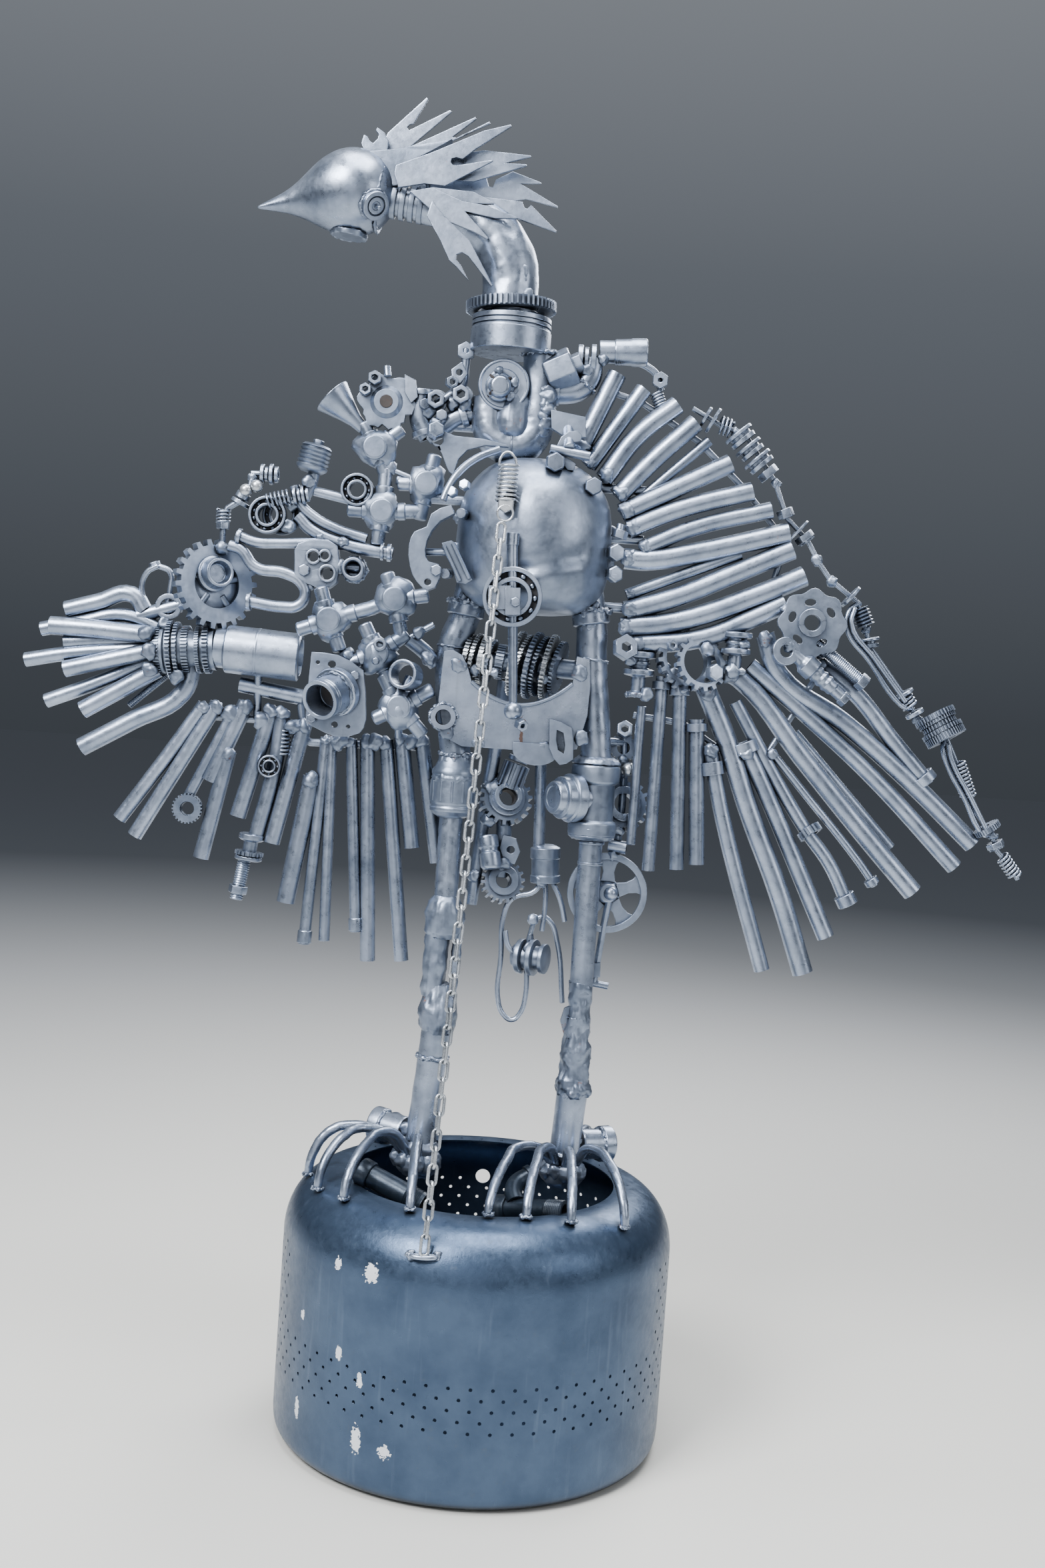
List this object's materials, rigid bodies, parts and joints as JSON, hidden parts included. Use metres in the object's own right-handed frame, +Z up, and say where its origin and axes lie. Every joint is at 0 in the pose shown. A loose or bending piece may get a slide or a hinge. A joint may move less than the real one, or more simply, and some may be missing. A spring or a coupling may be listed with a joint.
{
  "type": "scrap metal bird sculpture",
  "caption": "Standing bird welded from scrap pipe, gears, rings and plate, wings half spread, on an upturned perforated steel drum.",
  "frame": {"origin": "middle of the drum's closed underside, on the ground", "axes": "+Z up, -Y the way the chest faces, +X to the right of someone who faces the chest"},
  "size_m": [1.2469, 0.4807, 1.628],
  "materials": {
    "silver_paint": "aluminium spray paint over scrap steel, semi-gloss, with rust spots",
    "dark_pipe": "dark oiled threaded pipe, satin",
    "drum_paint": "blue-grey spray paint over sheet steel, satin, chipped at the shoulder"
  },
  "bodies": {
    "root": {"body_dome": "silver_paint", "brake_arm": "silver_paint", "breast_rod": "silver_paint", "chain": "silver_paint", "chest_spring": "silver_paint", "collar_gear": "silver_paint", "collar_plate": "silver_paint", "crest_blade_1": "silver_paint", "crest_blade_2": "silver_paint", "crest_blade_3": "silver_paint", "crest_blade_4": "silver_paint", "crest_blade_5": "silver_paint", "crest_blade_6": "silver_paint", "crest_blade_7": "silver_paint", "crest_blade_8": "silver_paint", "crest_blade_9": "silver_paint", "crown_spanner": "silver_paint", "dome_bracket": "silver_paint", "dome_hook": "silver_paint", "drum": "drum_paint", "drum_eye": "silver_paint", "far_eye": "silver_paint", "head": "silver_paint", "hub_washer": "silver_paint", "left_crosses": "silver_paint", "left_feathers": "silver_paint", "left_foot": "silver_paint", "left_foot_pipe": "dark_pipe", "left_gear": "silver_paint", "left_hand": "silver_paint", "left_heel_socket": "silver_paint", "left_hip": "silver_paint", "left_leg": "silver_paint", "left_pipes": "silver_paint", "left_shoulder_crosses": "silver_paint", "left_shoulder_elbows": "silver_paint", "left_sleeve": "silver_paint", "left_stator_plate": "silver_paint", "near_eye": "silver_paint", "neck_base": "silver_paint", "neck_coupling": "silver_paint", "neck_pipe": "silver_paint", "neck_piston": "silver_paint", "right_edge_string": "silver_paint", "right_foot": "silver_paint", "right_foot_pipe": "dark_pipe", "right_heel_socket": "silver_paint", "right_hip": "silver_paint", "right_leg": "silver_paint", "right_lower_tubes": "silver_paint", "right_spool_1": "silver_paint", "right_spool_2": "silver_paint", "right_stator_plate": "silver_paint", "right_upper_tubes": "silver_paint", "right_wing_gears": "silver_paint", "saddle_plate": "silver_paint", "synchro_rings": "silver_paint", "tail_gears": "silver_paint", "tail_sleeve": "silver_paint", "tail_wheel": "silver_paint"}
  },
  "joints": []
}
